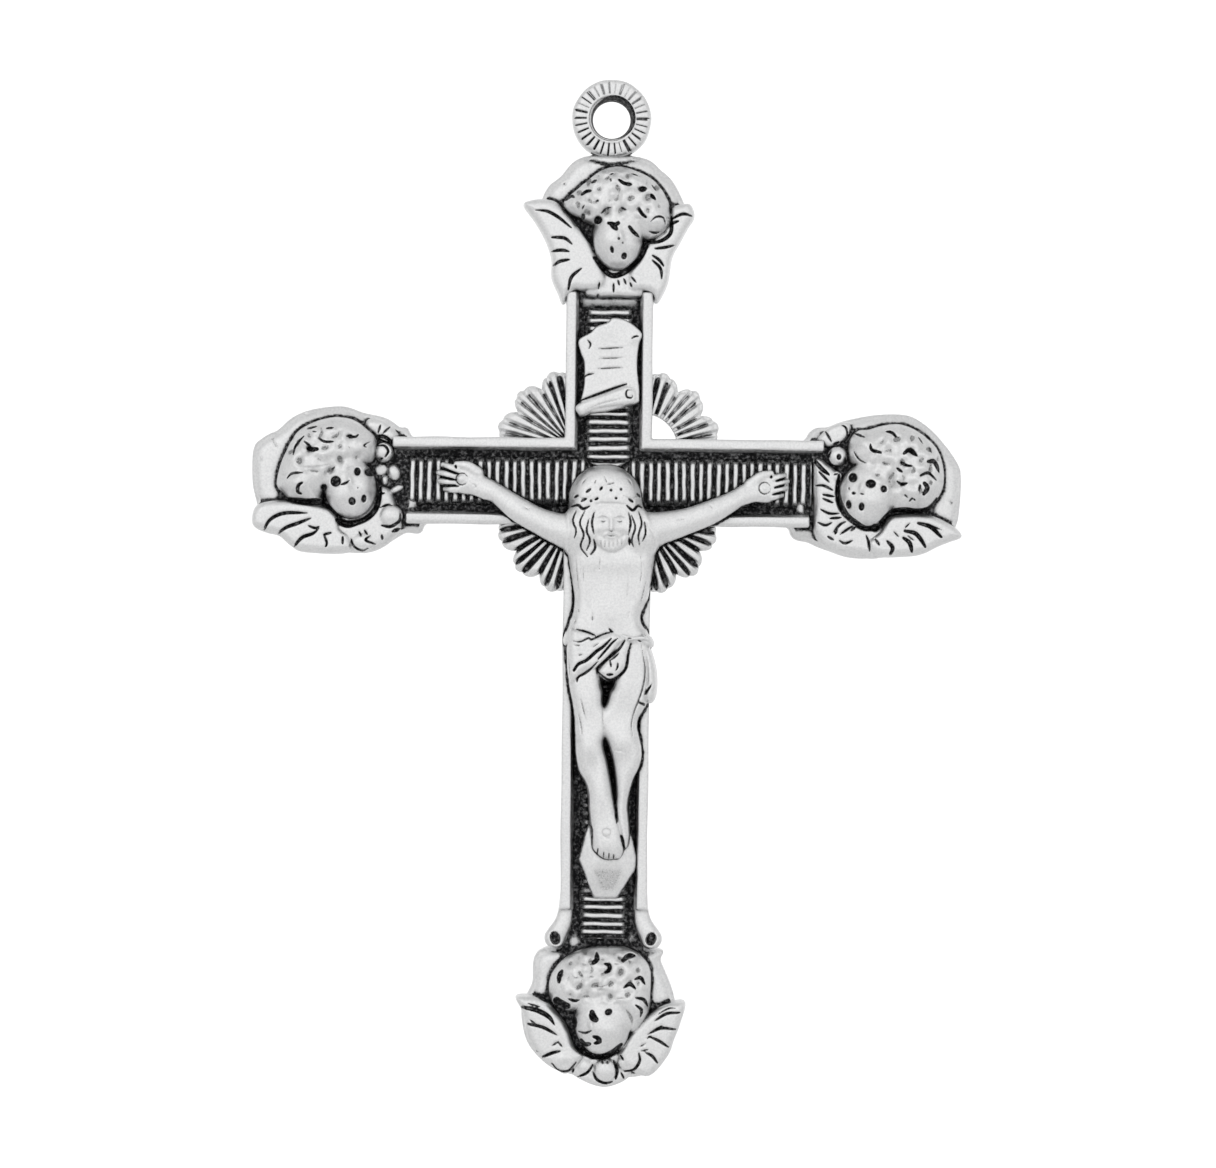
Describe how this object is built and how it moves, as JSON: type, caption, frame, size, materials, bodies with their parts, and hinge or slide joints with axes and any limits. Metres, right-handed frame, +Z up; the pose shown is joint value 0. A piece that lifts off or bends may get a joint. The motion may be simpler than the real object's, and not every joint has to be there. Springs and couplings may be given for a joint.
{
  "type": "crucifix pendant",
  "caption": "Small antiqued silver crucifix pendant with ribbed beams, ray fans, cherub terminals and a top eyelet, to hang from a ring, chain or rosary.",
  "frame": {"origin": "centre of the eyelet's hole, halfway through the eyelet's thickness", "axes": "+Z up the long arm towards the eyelet, +X to the right seen from the front, the front faces -Y and the flat back faces +Y"},
  "size_m": [0.036, 0.0031, 0.051],
  "materials": {
    "silver": "satin sterling silver, antiqued, with high spots rubbed bright",
    "oxidised_silver": "sterling silver with black oxide left in the grooves"
  },
  "bodies": {
    "root": {"cross_plate": "silver", "eyelet": "silver", "border_moulding_upper_left": "silver", "border_moulding_upper_right": "silver", "border_moulding_lower_left": "silver", "border_moulding_lower_right": "silver", "ribbed_panel_top": "oxidised_silver", "ribbed_panel_bottom": "oxidised_silver", "ribbed_panel_left": "oxidised_silver", "ribbed_panel_right": "oxidised_silver", "ray_fan_upper_left": "oxidised_silver", "ray_fan_upper_right": "oxidised_silver", "ray_fan_lower_left": "oxidised_silver", "ray_fan_lower_right": "oxidised_silver", "cherub_top": "silver", "cherub_left": "silver", "cherub_right": "silver", "cherub_bottom": "silver", "titulus_scroll": "silver", "footrest": "silver", "corpus": "silver", "nail_left_hand": "silver", "nail_right_hand": "silver", "nail_feet": "silver"}
  },
  "joints": []
}
